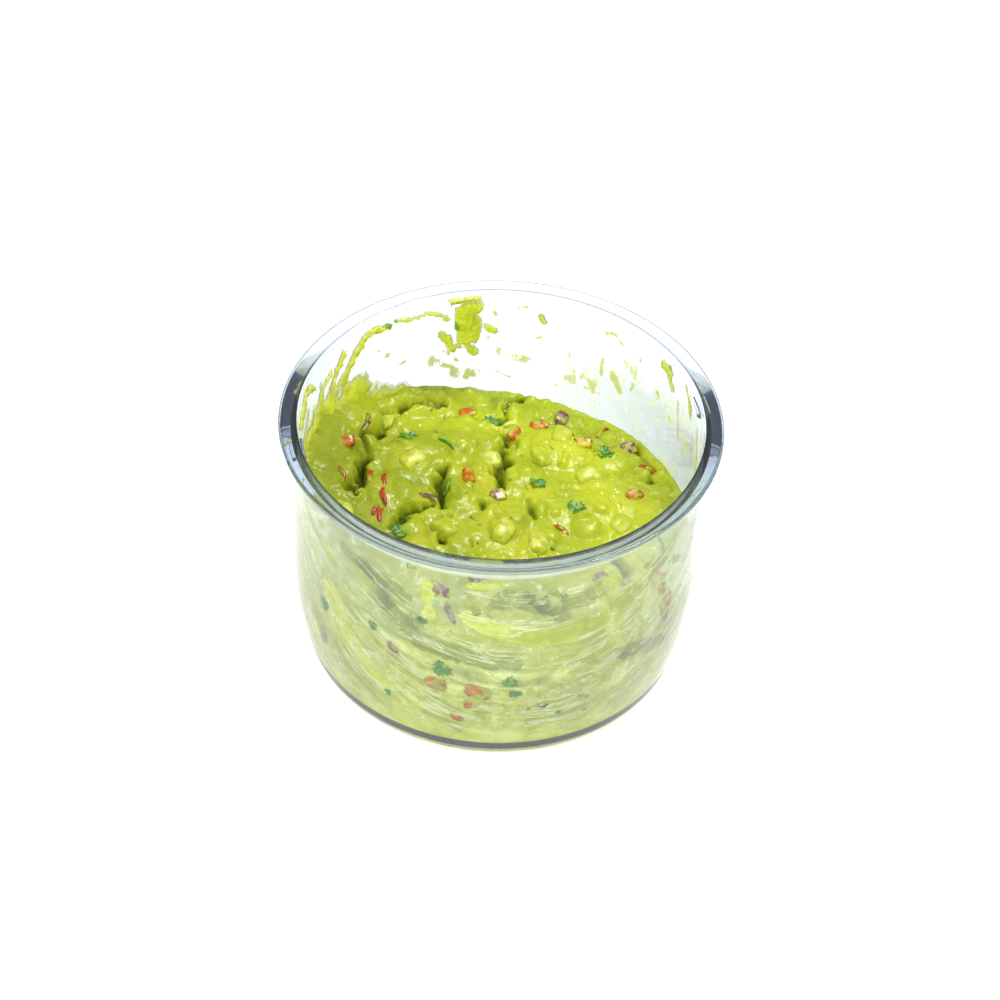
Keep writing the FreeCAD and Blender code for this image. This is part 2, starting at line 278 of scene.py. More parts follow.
def mashed_avocado():
    """Moist mash. Painted shade makes the hollows a deeper, darker green. The side that lies on the wall is
    smeared by stirring, darker near its top from painted shade, with a dark line of painted shade near its
    foot.
    """
    f = Finish("mashed_avocado")
    at = f.place()
    flecks = f.noise(at, 1100.0, 2.0)
    mash = f.blended(f.between(flecks, 0.68, 0.76, 0.0, 0.4), mash_colour_with_painted_light(f, at), (0.72, 0.70, 0.16))
    # Painted shade: the hollows and creases are darkened to deep green.
    mash = f.blended(f.attribute("hollow") * 0.85, mash, (0.10, 0.155, 0.010))

    level = f.parts(at)[2]
    pattern = stirred(f, 95.0, 0.62) * 0.5 + f.noise(at, 70.0, 6.0, 0.66, 0.6) * 0.5
    side = f.ramp(pattern, [
        (0.41, (0.30, 0.34, 0.04)), (0.46, (0.52, 0.55, 0.07)), (0.51, (0.78, 0.79, 0.14)),
        (0.56, (0.98, 1.0, 0.40)),
    ])
    # Painted shade: the side turns darker olive near its top.
    side = f.blended(f.between(level, 0.052, 0.068, 0.0, 0.5), side, (0.30, 0.36, 0.04))
    low = f.ramp(pattern, [
        (0.42, (0.60, 0.64, 0.06)), (0.50, (0.76, 0.78, 0.10)), (0.57, (0.92, 0.95, 0.28))])
    side = f.blended(f.between(level, 0.016, 0.036, 1.0, 0.0), side, low)
    # Painted shade: a dark blue band low on the side stands in for the dark line where the base meets the
    # floor, seen through the plastic.
    painted_base_line = f.between(level, 0.0061, 0.0069) * f.between(level, 0.0100, 0.0108, 1.0, 0.0)
    side = f.blended(painted_base_line * 0.95, side, (0.018, 0.03, 0.075))
    colour = f.blended(f.attribute("side"), mash, side)
    folds = f.bump(f.noise(at, 170.0, 4.0, 0.55), 0.0011, 0.6)
    relief = f.bump(f.noise(at, 700.0, 3.0, 0.6), 0.0003, 0.5, folds)
    return f.finished(Base_Color=colour, Roughness=f.between(flecks, 0.35, 0.65, 0.16, 0.34), Normal=relief,
                      IOR=1.42, Subsurface_Weight=0.12, Subsurface_Radius=(0.6, 0.6, 0.12),
                      Subsurface_Scale=0.002)


def stirred(f, scale, roughness):
    """Streaks left on the wall by stirring. They dip at the front and rise again to the left and right."""
    x, y, z = f.parts(f.place())
    turn = f.maths("ARCTAN2", x, 0.0 - y)
    dip = (1.0 - f.maths("COSINE", turn - 0.22)) * 0.058
    along = f.node("ShaderNodeCombineXYZ", sockets={0: turn * 0.00639, 1: z - dip, 2: 0.0})
    return f.noise(along, scale, 6.0, roughness, 0.25)


def wall_smear():
    """Food that stuck to the wall: light shows through its thin edge. Orange and green bits colour it."""
    f = Finish("wall_smear")
    at = f.place()
    cloud = f.noise(at, 170.0, 4.0, 0.6)
    thin = f.attribute("thin")
    colour = f.ramp(cloud, [
        (0.35, (0.50, 0.58, 0.02)), (0.52, (0.66, 0.72, 0.04)), (0.68, (0.78, 0.76, 0.07))])
    colour = f.blended(thin * 0.7, colour, (0.86, 0.90, 0.45))
    spots = f.noise(at, 95.0, 1.0)
    colour = f.blended(f.between(spots, 0.66, 0.72, 0.0, 0.7), colour, (0.85, 0.40, 0.04))
    colour = f.blended(f.between(spots, 0.26, 0.31, 0.8, 0.0), colour, (0.12, 0.30, 0.02))
    relief = f.bump(cloud, 0.0008, 0.6)
    solid = f.between(thin + (cloud - 0.5) * 0.8, 0.55, 0.95, 1.0, 0.25)
    return f.finished(Base_Color=colour, Roughness=f.gloss(cloud, 0.2, 0.4), Normal=relief, Alpha=solid,
                      Subsurface_Weight=0.4, Subsurface_Radius=(1.0, 1.0, 0.3), Subsurface_Scale=0.004)


def smear_film():
    """A thin, milky film that the food left on the wall: stirred streaks in front, dabs and drips behind.
    Painted light makes it paler on the far wall, and dark olive sheets of painted shade lie in places.
    """
    f = Finish("smear_film")
    at = f.place()
    in_front = f.between(f.parts(at)[1], -0.025, 0.02, 1.0, 0.0)
    cover = f.attribute("cover")
    streak = stirred(f, 120.0, 0.66)
    patch = f.noise(at, 62.0, 6.0, 0.66, 0.5)
    spots = f.noise(at, 230.0, 5.0, 0.65)
    drips = f.noise(f.stretched((190.0, 190.0, 38.0)), 1.0, 5.0, 0.62, 0.4)
    stirring = streak * 0.45 + patch * 0.55
    dabs = drips * 0.5 + spots * 0.25 + patch * 0.25
    pattern = f.node("ShaderNodeMix", {"data_type": "FLOAT"}, {0: in_front, 2: dabs, 3: stirring})
    ridge = f.maths("ABSOLUTE", streak - 0.5)
    strands = f.between(ridge, 0.006, 0.026, 1.0, 0.0) * f.between(patch, 0.44, 0.54)
    strands = strands * f.between(cover, 0.1, 0.4) * in_front
    ring, haze, dabs_and_shade_sheets = f.attribute("ring"), f.attribute("haze"), f.attribute("daub")
    ragged = (streak - 0.5) * 1.5 + (spots - 0.5) * 1.5 + (patch - 0.5) * 1.2
    torn = f.between(f.maths("ABSOLUTE", dabs_and_shade_sheets) * 0.6 + ragged, 0.12, 0.34)
    daub = f.maths("MAXIMUM", dabs_and_shade_sheets, 0.0) * torn
    # Painted shade: where the daub attribute is below 0, a dark olive sheet is laid over the film.
    painted_shade_sheet = f.maths("MAXIMUM", 0.0 - dabs_and_shade_sheets, 0.0) * torn
    spread = pattern + cover * 0.22 + (spots - 0.5) * 0.16 + (daub - painted_shade_sheet) * 0.18
    seen = f.between(spread, 0.665, 0.695)
    thinner = f.between(spread, 0.60, 0.64, 0.0, 0.34)
    veil = f.between(cover, 0.0, 0.6, 0.02, 0.10)
    tone = spread * 0.30 + stirring * 0.55 + spots * 0.30
    front = f.ramp(tone, [
        (0.52, (1.0, 1.0, 0.58)), (0.57, (0.94, 0.97, 0.38)), (0.62, (0.76, 0.79, 0.13)),
        (0.68, (0.50, 0.54, 0.03))])
    # Painted light: the film on the far wall is paler and brighter, for light that shines through it from
    # behind.
    back = f.ramp(tone, [(0.50, (0.97, 1.0, 0.60)), (0.58, (0.94, 0.96, 0.30)), (0.66, (0.84, 0.84, 0.08))])
    fresh = f.ramp(tone, [(0.60, (0.82, 0.87, 0.13)), (0.68, (0.70, 0.75, 0.04)), (0.76, (0.56, 0.60, 0.01))])
    daubed = f.between(daub, 0.25, 0.7)
    colour = f.blended(daubed * 0.9, f.blended(in_front, back, front), fresh)
    # Painted shade: dark olive colour in those sheets.
    colour = f.blended(f.between(painted_shade_sheet, 0.2, 0.6), colour, (0.27, 0.31, 0.03))
    colour = f.blended(strands * 0.85, colour, (1.0, 1.0, 0.60))
    colour = f.blended(haze * f.between(spread, 0.58, 0.64, 1.0, 0.0), colour, (0.40, 0.50, 0.58))
    colour = f.blended(ring, colour, (0.94, 0.96, 0.72))
    seen = f.maths("MAXIMUM", seen, strands * 0.9)
    alpha = f.highest(
        seen * (0.60 + 0.22 * in_front + 0.25 * daubed), thinner * (0.5 + 0.5 * in_front), veil,
        f.between(painted_shade_sheet, 0.2, 0.6, 0.0, 0.5), haze * (0.22 + 0.45 * drips + 0.55 * patch),
        ring * (0.5 + 0.5 * patch))
    return f.finished(Base_Color=colour, Roughness=f.gloss(spots, 0.3, 0.5),
                      Alpha=alpha, Normal=f.bump(pattern, 0.0006, 0.5))


def avocado_flesh():
    f = Finish("avocado_flesh")
    at = f.place()
    cloud = f.noise(at, 110.0, 3.0)
    grain = f.noise(at, 700.0, 3.0, 0.6)
    colour = f.ramp(cloud, [
        (0.35, (0.46, 0.51, 0.022)), (0.5, (0.60, 0.62, 0.05)), (0.68, (0.74, 0.73, 0.14))])
    colour = coated(f, at, colour)
    return f.finished(Base_Color=colour, Roughness=f.gloss(grain, 0.2, 0.4),
                      Normal=f.bump(grain, 0.0004, 0.5), Subsurface_Weight=0.2,
                      Subsurface_Radius=(0.6, 0.6, 0.15), Subsurface_Scale=0.003)


def tomato():
    """Red skin on one face of each piece, paler orange flesh on the others."""
    f = Finish("tomato")
    at = f.place()
    cloud = f.noise(at, 300.0, 3.0)
    flesh = f.ramp(cloud, [
        (0.35, (0.42, 0.05, 0.006)), (0.55, (0.62, 0.16, 0.010)), (0.7, (0.76, 0.34, 0.025))])
    skin = f.ramp(cloud, [(0.3, (0.26, 0.018, 0.006)), (0.7, (0.50, 0.05, 0.010))])
    colour = coated(f, at, f.blended(f.attribute("skin"), flesh, skin))
    return f.finished(Base_Color=colour, Roughness=f.gloss(cloud, 0.15, 0.3),
                      Normal=f.bump(f.noise(at, 900.0, 2.0), 0.0003, 0.4), Subsurface_Weight=0.15,
                      Subsurface_Radius=(1.0, 0.25, 0.08), Subsurface_Scale=0.001)


def coated(f, at, colour):
    """The colour of a bit that is partly coated with mash."""
    coat = f.noise(at, 340.0, 4.0, 0.6) + f.attribute("coated") * 0.62
    return f.blended(f.between(coat, 0.58, 0.74, 0.0, 0.92), colour, mash_colour_with_painted_light(f, at))


def red_onion():
    """Purple skin edges over pale layers."""
    f = Finish("red_onion")
    at = f.place()
    layers = f.noise(f.stretched((900.0, 900.0, 250.0)), 1.0, 2.0)
    colour = f.ramp(layers, [
        (0.35, (0.17, 0.035, 0.07)), (0.5, (0.32, 0.10, 0.14)), (0.66, (0.52, 0.28, 0.30))])
    colour = coated(f, at, f.blended(f.attribute("skin"), colour, (0.13, 0.025, 0.05)))
    return f.finished(Base_Color=colour, Roughness=f.gloss(layers, 0.15, 0.32),
                      Normal=f.bump(f.noise(at, 800.0, 2.0), 0.0002, 0.4))


def coriander():
    """Dark leaf with paler veins."""
    f = Finish("coriander")
    at = f.place()
    cloud = f.noise(at, 500.0, 3.0)
    veins = f.node("ShaderNodeTexVoronoi", {"feature": "DISTANCE_TO_EDGE"}, {"Vector": at, "Scale": 650.0})
    colour = f.ramp(cloud, [
        (0.3, (0.016, 0.10, 0.004)), (0.5, (0.045, 0.22, 0.008)), (0.7, (0.13, 0.40, 0.018))])
    colour = f.blended(f.between(veins, 0.0, 0.09, 0.35, 0.0), colour, (0.22, 0.42, 0.06))
    colour = coated(f, at, colour)
    return f.finished(Base_Color=colour, Roughness=f.gloss(cloud, 0.25, 0.45),
                      Normal=f.bump(veins, 0.0003, 0.4))


def pale_floor():
    f = Finish("pale_floor")
    cloud = f.noise(f.place(), 3.0, 3.0)
    colour = f.blended(cloud, (0.93, 0.93, 0.93), (0.97, 0.97, 0.97))
    return f.finished(Base_Color=colour, Roughness=0.9, Emission_Color=(1.0, 1.0, 1.0, 1.0),
                      Emission_Strength=0.5)


# ---------------------------------------------------------------- meshes

def piece(name, points, faces, finish, smooth=True):
    mesh = bpy.data.meshes.new(name)
    mesh.from_pydata(np.asarray(points).tolist(), [], [list(map(int, face)) for face in faces])
    if smooth:
        mesh.shade_smooth()
    mesh.materials.append(finish)
    made = bpy.data.objects.new(name, mesh)
    bpy.context.collection.objects.link(made)
    return made


def add_attribute(made, name, values):
    layer = made.data.attributes.new(name, "FLOAT", "POINT")
    layer.data.foreach_set("value", np.asarray(values, dtype=np.float32))


def side_radius(height):
    """Radius of the inside of the bowl's side at a height."""
    start = Vector((0.0, -0.03, height))
    hit, spot, _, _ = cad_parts["bowl"].ray_cast(start, Vector((0.0, -1.0, 0.0)))
    return math.hypot(spot.x, spot.y) if hit else inner_radius


def wall_at(level):
    """Radius of the inside of the bowl's side at any heights."""
    return np.interp(level, side_levels, side_radii)


# ---------------------------------------------------------------- the food's surface

def smooth_noise(x, y, size, seed):
    """Random heights from 0 to 1 on a lattice of the given size, joined smoothly."""
    lattice = np.random.default_rng(seed).random((64, 64))
    u, v = x / size + 100.0, y / size + 100.0
    i, j = np.floor(u).astype(int), np.floor(v).astype(int)
    a, b = u - i, v - j
    a, b = a * a * (3 - 2 * a), b * b * (3 - 2 * b)
    i, j, k, m = i % 64, j % 64, (i + 1) % 64, (j + 1) % 64
    low = lattice[i, j] * (1 - a) + lattice[k, j] * a
    high = lattice[i, m] * (1 - a) + lattice[k, m] * a
    return low * (1 - b) + high * b


def layered_noise(x, y, size, seed, octaves=4):
    total, weight = 0.0, 0.0
    for n in range(octaves):
        total = total + smooth_noise(x, y, size / 2**n, seed + n) / 1.9**n
        weight += 1 / 1.9**n
    return total / weight - 0.5


def to_line(x, y, line):
    """Distance from each point to a line of straight runs."""
    best = np.full(np.shape(x), 1.0)
    for (ax, ay), (bx, by) in zip(line, line[1:]):
        dx, dy = bx - ax, by - ay
        share = np.clip(((x - ax) * dx + (y - ay) * dy) / (dx * dx + dy * dy), 0.0, 1.0)
        best = np.minimum(best, np.hypot(x - ax - share * dx, y - ay - share * dy))
    return best


# Creases between folds of the mash, in millimetres: depth, half width, and the line on the surface.
creases = (
    (5.5, 2.2, ((-38, 52), (-44, 39), (-50, 29), (-50, 18))), (6.0, 1.6, ((-50, 21), (-50, 9), (-53, 2))),
    (5.5, 1.3, ((-19.5, 18.5), (-21.5, 13), (-20, 7), (-18.7, -1))),
    (6.5, 2.0, ((3.5, 42), (2.3, 36), (-0.5, 25), (1, 16))), (3.4, 1.1, ((-5.6, 3.5), (-3.8, -0.5))),
    (3.0, 0.9, ((-18.4, -16.6), (-18.2, -18.6))), (3.0, 0.9, ((-8.4, -16.6), (-8, -18.6))),
    (4.0, 1.7, ((-36.5, -13), (-34, -5), (-30, -1.5))), (3.5, 1.2, ((-27.5, -2.5), (-23, 0.5))),
    (2.6, 1.0, ((10.2, 9.5), (13.4, 0.5))), (4.0, 1.1, ((24.5, 52), (28.5, 46.5))),
    (2.2, 1.1, ((50, 46), (57, 34), (56, 27))), (2.5, 1.0, ((-37, 53.5), (-31, 56.6), (-23.5, 59))),
    (3.0, 1.0, ((-2, 52), (2.5, 60), (7.5, 69))), (3.5, 1.5, ((14, -40), (22, -44), (26, -50))),
    (3.5, 1.5, ((-48, -30), (-40, -40), (-36, -52))), (3.0, 1.3, ((40, -10), (46, -20), (44, -32))),
)

# Large folds and mounds, in millimetres: where, radii, turn in degrees and height.
mounds = (
    (-25, 26, 20, 15, 20, 3.2), (-12, 42, 13, 11, 0, 2.6), (20, 42, 13, 15, 70, 3.0), (8, 24, 9, 8, 0, 2.4),
    (41, 36, 11, 8, 30, 3.6), (-37, 5, 12, 10, 60, 2.8), (-14, 10, 9, 12, 20, 2.4), (15, -9, 7, 12, 0, 2.0),
    (30, 8, 14, 12, 10, 1.8), (-60, 30, 10, 24, -28, 4.4), (-60, -8, 9, 20, 8, 2.6),
    (-30, -30, 14, 10, -30, 2.4), (2, -34, 14, 10, 10, 2.0), (34, -30, 14, 12, 30, 2.4),
    (58, 8, 8, 16, 0, 2.0), (4, 58, 16, 9, 0, 1.8), (-30, 58, 18, 8, 28, 2.2), (20, 62, 12, 7, -15, 1.6),
    (-5, -55, 20, 9, 0, 1.6),
)


# How far the food climbs the wall: direction in degrees and rise in millimetres.
climbs = (
    (0, 1), (30, 1), (60, 2), (90, 3), (115, 3), (130, 5), (140, 8), (150, 10), (160, 10), (170, 8),
    (185, 6), (200, 5), (215, 4), (240, 3), (270, 2), (300, 2), (330, 2), (360, 1),
)


# How much of the wall the film covers: direction in degrees and a share.
film_density = (
    (0, 0.50), (20, 0.36), (45, 0.34), (70, 0.26), (100, 0.18), (125, 0.22), (145, 0.36), (165, 0.55),
    (185, 0.66), (210, 0.85), (270, 0.85), (320, 0.85), (345, 0.70), (360, 0.50),
)


# Milky veil on the far side of the wall: direction in degrees and a share.
film_haze = (
    (0, 0.70), (20, 0.80), (45, 0.66), (70, 0.46), (95, 0.26), (125, 0.18), (150, 0.26), (175, 0.42),
    (190, 0.40), (205, 0.0), (335, 0.0), (360, 0.75),
)

# Dabs and strokes in the film, and dark olive sheets of painted shade where the strength is below 0:
# strength, half width in mm, then the direction in degrees and the height in mm along each.
film_dabs_and_shade_sheets = (
    (0.9, 1.5, ((95, 97.5), (93.5, 91.5))), (1.0, 1.1, ((86.5, 95.5), (84, 96))),
    (1.2, 1.8, ((79.5, 92.5), (78.5, 90))), (0.9, 1.0, ((70.5, 93), (70, 96.5), (68, 97.5), (66.5, 96))),
    (1.2, 1.4, ((96, 82.5), (94.5, 79.5))), (0.8, 1.0, ((82.5, 81), (78, 83.5))),
    (0.75, 0.8, ((71, 89), (70, 78.5), (70, 67.5))), (1.1, 1.7, ((59, 93.5), (56, 94.5), (52.5, 91.5))),
    (1.0, 1.2, ((49.5, 97), (46, 93.5), (45, 87.5), (47, 79), (48.5, 73))),
    (1.3, 2.8, ((36, 95.5), (32.5, 95))), (1.2, 1.6, ((33, 96), (31, 88))),
    (1.1, 1.3, ((59, 80.5), (59.5, 68), (59, 58.5))), (1.2, 1.4, ((38, 80.5), (38, 79.5))),
    (1.2, 1.4, ((23, 97), (20, 92), (18, 87))), (0.9, 4.2, ((111, 71.5), (105.5, 66), (99.5, 63))),
    (0.85, 2.8, ((108.5, 75.5), (103.5, 70.5))), (0.7, 1.0, ((98, 75), (94, 65.5), (87.5, 61))),
    (1.0, 1.0, ((123.5, 74.5), (121.5, 75.5))), (0.8, 1.3, ((118.5, 82.5), (117, 82.5))),
    (0.7, 3.2, ((130, 84), (126, 80))), (0.75, 3.2, ((79.5, 66), (74, 61))),
    (0.9, 2.6, ((56, 76.5), (52.5, 69))), (0.8, 2.2, ((42.5, 86.5), (39.5, 85))),
    (0.6, 6.0, ((92, 74), (62, 66))), (0.6, 5.0, ((50, 84), (30, 76))),
    (1.0, 1.4, ((12, 92), (9, 78), (10, 70))), (0.9, 1.2, ((27, 86), (25, 70))),
    (0.9, 1.3, ((2, 90), (0.5, 74))), (1.0, 1.6, ((176, 96), (180, 84), (182, 72))),
    (-0.9, 6.5, ((272, 85), (302, 80))), (-0.8, 5.0, ((226, 86), (246, 78))),
    (-0.7, 4.0, ((316, 84), (330, 74))),
    (1.3, 4.6, ((263.5, 74.5), (272, 70.5), (282.5, 66), (292.5, 65), (302.5, 66))),
    (0.9, 4.0, ((252.5, 88), (252.5, 74))), (1.1, 2.6, ((264, 91), (270.5, 91.5))),
    (1.0, 2.8, ((293, 86.5), (291, 86))), (0.7, 5.0, ((302, 86.5), (309.5, 62.5))),
    (0.7, 7.0, ((218.5, 59.5), (227, 48.5))), (0.7, 7.0, ((227, 43.5), (239.5, 29))),
    (0.9, 1.8, ((300.5, 78), (303.5, 64), (300.5, 51.5))), (0.5, 3.0, ((301.5, 33.5), (317, 36))),
    (-0.9, 6.0, ((238, 72), (250, 60), (262, 56), (276, 54))), (-0.9, 5.0, ((310, 46), (329, 36))),
    (-0.8, 5.0, ((279, 84), (284, 80))),
)


class FoodSurface:
    """Height field of the food's surface over the whole bowl."""

    def __init__(self):
        reach = inner_radius + 0.002
        line = np.arange(-reach, reach, grid_step)
        self.start = line[0]
        self.x, self.y = np.meshgrid(line, line, indexing="ij")
        self.height = self.base(self.x, self.y)
        self.add_mounds()
        self.add_lumps(95, (0.0034, 0.0076), 0.42, seed=5)
        self.add_lumps(300, (0.0014, 0.0032), 0.50, seed=6, rightward=0.6)
        self.height = blurred(self.height, 1)
        self.add_creases()
        self.add_lumps(260, (0.0007, 0.0015), 0.6, seed=7, rightward=0.5)
        self.height += layered_noise(self.x, self.y, 0.006, 40, 3) * 0.0012
        # How deep each point lies in a hollow, used as painted shade on the mash.
        self.hollow = self.measure_hollows()

    def base(self, x, y):
        """The gentle dome that leans to the left, with a rim that rides a little up the side."""
        lean = 0.0566 - 0.115 * x - 0.9 * (x * x + y * y) + 1.2 * x * x
        direction = np.degrees(np.arctan2(y, x)) % 360
        rise = np.interp(direction, *np.array(climbs).T)
        rise = rise * (0.75 + layered_noise(direction, 0 * x, 9.0, 12, 3))
        climb = np.clip((np.hypot(x, y) - 0.050) / 0.021, 0, 1) ** 2.5
        return lean + climb * rise * 0.001 + layered_noise(x, y, 0.03, 11, 2) * 0.004

    def add_mounds(self):
        x, y = self.x, self.y
        for px, py, length, width, turn, rise in mounds:
            c, s = math.cos(math.radians(turn)), math.sin(math.radians(turn))
            dx, dy = x - px * 0.001, y - py * 0.001
            u, v = (c * dx + s * dy) / (length * 0.001), (c * dy - s * dx) / (width * 0.001)
            share = np.clip(1 - u * u - v * v, 0, 1)
            self.height += rise * 0.001 * (np.sqrt(share) * 0.5 + share * 0.5)

    def add_lumps(self, count, radii, standing, seed, rightward=0.0):
        """Rounded chunks, each standing out of the mash by a share of its radius."""
        rng = np.random.default_rng(seed)
        reach = inner_radius
        for _ in range(count):
            angle, out = rng.random() * 2 * math.pi, math.sqrt(rng.random()) * reach
            px, py = out * math.cos(angle), out * math.sin(angle)
            if rng.random() < rightward * (0.5 - px / reach):
                continue
            radius = radii[0] + (radii[1] - radii[0]) * rng.random() ** 2
            squash = 0.65 + 0.35 * rng.random()
            turn = rng.random() * math.pi
            rise = radius * standing * (0.35 + 0.65 * rng.random())
            i = slice(*self.index((px - radius, px + radius)))
            j = slice(*self.index((py - radius, py + radius)))
            dx, dy = self.x[i, j] - px, self.y[i, j] - py
            if dx.size == 0:
                continue
            c, s = math.cos(turn), math.sin(turn)
            u, v = (c * dx + s * dy) / radius, (c * dy - s * dx) / (radius * squash)
            share = np.clip(1 - u * u - v * v, 0, 1)
            middle = self.sample(px, py)
            top = middle - radius * 0.35 + (rise + radius * 0.35) * np.sqrt(share)
            here = self.height[i, j]
            self.height[i, j] = np.where(share > 0, np.maximum(here, top), here)

    def add_creases(self):
        wander = layered_noise(self.x, self.y, 0.006, 70, 3) * 0.006
        uneven = layered_noise(self.x, self.y, 0.008, 75, 3)
        for depth, width, line in creases:
            away = to_line(self.x + wander, self.y - wander, np.array(line) * 0.001)
            wide = width * 0.0009 * np.clip(1 + 2.2 * uneven, 0.45, 1.8)
            deep = depth * 0.001 * np.clip(0.95 + 1.8 * uneven, 0.25, 1.15)
            self.height -= (deep * np.exp(-(away / wide) ** 2)
                            + deep * 0.22 * np.exp(-(away / wide / 2.6) ** 2))
            self.height += 0.0009 * np.clip(1 + 3 * uneven, 0, 2) * np.exp(-((away - 0.0035) / 0.0022) ** 2)

    def measure_hollows(self):
        """How far each point lies below the middle height of what is round it, from 0 to 1."""
        wide = blurred(self.height, 9)
        return np.clip((wide - self.height - 0.0003) / 0.0024, 0, 1)

    def index(self, values):
        last = len(self.x) - 1
        return [int(np.clip(round((v - self.start) / grid_step), 0, last)) for v in values]

    def sample(self, x, y, field=None):
        """The field at any points, between those of the grid."""
        field = self.height if field is None else field
        u = np.clip((np.asarray(x) - self.start) / grid_step, 0, len(field) - 1.001)
        v = np.clip((np.asarray(y) - self.start) / grid_step, 0, len(field) - 1.001)
        i, j = u.astype(int), v.astype(int)
        a, b = u - i, v - j
        low = field[i, j] * (1 - a) + field[i + 1, j] * a
        high = field[i, j + 1] * (1 - a) + field[i + 1, j + 1] * a
        return low * (1 - b) + high * b


def blurred(field, steps):
    """Mean over a square of 2 * steps + 1 points."""
    for axis in (0, 1):
        padded = np.concatenate([np.repeat(field.take([0], axis), steps + 1, axis), field,
                                 np.repeat(field.take([-1], axis), steps, axis)], axis)
        total = np.cumsum(padded, axis)
        length = field.shape[axis]
        field = (total.take(range(2 * steps + 1, 2 * steps + 1 + length), axis)
                 - total.take(range(0, length), axis)) / (2 * steps + 1)
    return field


def disc_grid(rows):
    """A square grid bent into a disc of radius 1: x, y, quads, and its edge in order."""
    line = np.linspace(-1.0, 1.0, rows)
    a, b = np.meshgrid(line, line, indexing="ij")
    flat = np.abs(a) >= np.abs(b)
    radius = np.where(flat, a, b)
    with np.errstate(divide="ignore", invalid="ignore"):
        angle = np.where(flat, math.pi / 4 * b / a, math.pi / 2 - math.pi / 4 * a / b)
    angle = np.nan_to_num(angle)
    number = np.arange(rows * rows).reshape(rows, rows)
    quads = np.stack([number[:-1, :-1], number[1:, :-1], number[1:, 1:], number[:-1, 1:]], -1).reshape(-1, 4)
    edge = np.concatenate([number[:-1, 0], number[-1, :-1], number[:0:-1, -1], number[0, :0:-1]])
    return (radius * np.cos(angle)).ravel(), (radius * np.sin(angle)).ravel(), quads, edge


def make_guacamole(surface, finish):
    x, y, quads, edge = disc_grid(surface_rows)
    reach = inner_radius + food_wetting
    x, y = x * reach, y * reach
    height = surface.sample(x, y)
    points = [np.stack([x, y, height], 1)]
    faces = [quads]
    above = edge
    count = len(x)
    edge_x, edge_y, edge_height = x[edge], y[edge], height[edge]
    for ring in range(1, side_rings + 1):
        share = 1 - (1 - ring / side_rings) ** 1.6
        level = edge_height * (1 - share) + (floor_level - food_wetting) * share
        radius = wall_at(level) + food_wetting
        points.append(np.stack([edge_x / reach * radius, edge_y / reach * radius, level], 1))
        below = np.arange(count, count + len(edge))
        faces.append(np.stack([above, below, np.roll(below, -1), np.roll(above, -1)], 1))
        above, count = below, count + len(edge)
    points.append(np.array([[0.0, 0.0, floor_level - food_wetting]]))
    centre = np.full(len(edge), count)
    faces = [tuple(f) for group in faces for f in group.tolist()]
    faces += np.stack([above, centre, np.roll(above, -1)], 1).tolist()
    made = piece("guacamole_batch", np.concatenate(points), faces, finish)
    side = np.ones(count + 1)
    side[:len(x)] = 0.0
    hollow = np.zeros(count + 1)
    hollow[:len(x)] = surface.sample(x, y, surface.hollow)
    add_attribute(made, "side", side)
    add_attribute(made, "hollow", hollow)
    return made


# ---------------------------------------------------------------- cut vegetables

def islands(node):
    """The points of each separate solid of a CAD node."""
    copy = bmesh.new()
    copy.from_mesh(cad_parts[node].data)
    bmesh.ops.remove_doubles(copy, verts=copy.verts, dist=1e-6)
    copy.verts.index_update()
    left = set(copy.verts)
    found = []
    while left:
        group, queue = [], [left.pop()]
        while queue:
            vert = queue.pop()
            group.append(vert)
            for link in vert.link_edges:
                other = link.other_vert(vert)
                if other in left:
                    left.discard(other)
                    queue.append(other)
        found.append(np.array([v.co for v in sorted(group, key=lambda v: v.index)]))
    copy.free()
    found.sort(key=lambda g: tuple(np.round(g.mean(0), 6)))
    return found


def block_frame(corners):
    """Middle, turn and size of a rectangular block."""
    middle = corners.mean(0)
    start = corners[0]
    away = corners - start
    order = np.argsort(np.linalg.norm(away, axis=1))
    axes = []
    for n in order[1:]:
        line = away[n]
        if all(abs(line @ a) < 1e-3 * np.linalg.norm(line) * np.linalg.norm(a) for a in axes):
            axes.append(line)
        if len(axes) == 3:
            break
    axes.sort(key=lambda a: -np.linalg.norm(a))
    sizes = [np.linalg.norm(a) for a in axes]
    turn = np.array([a / s for a, s in zip(axes, sizes)]).T
    if turn[2, 2] < 0:
        turn[:, 2] *= -1
    if np.linalg.det(turn) < 0:
        turn[:, 1] *= -1
    return middle, turn, sizes


def lump(finish, size, seed, rounding, wobble):
    """A cut chunk: a block with worn edges and an uneven outline. Its skin is the face towards +X."""
    rng = np.random.default_rng(seed)
    shape = bmesh.new()
    bmesh.ops.create_cube(shape, size=1.0)
    bmesh.ops.subdivide_edges(shape, edges=shape.edges, cuts=2, use_grid_fill=True)
    skin = shape.verts.layers.float.new("skin")
    for vert in shape.verts:
        vert[skin] = 1.0 if vert.co.x > 0.45 else 0.0
        ball = vert.co.normalized() * 0.62
        vert.co = vert.co.lerp(ball, rounding)
        vert.co += Vector(rng.normal(0, wobble / 3, 3))
        vert.co = Vector((vert.co.x * size[0], vert.co.y * size[1], vert.co.z * size[2]))
    made = piece("lump", [], [], finish)
    shape.to_mesh(made.data)
    shape.free()
    made.data.shade_smooth()
    soft = made.modifiers.new("soft", "SUBSURF")
    soft.levels = soft.render_levels = 2
    return flattened(made)


def flattened(made):
    """The object with its modifiers worked into a plain mesh."""
    graph = bpy.context.evaluated_depsgraph_get()
    mesh = bpy.data.meshes.new_from_object(made.evaluated_get(graph))
    made.modifiers.clear()
    made.data = mesh
    return made


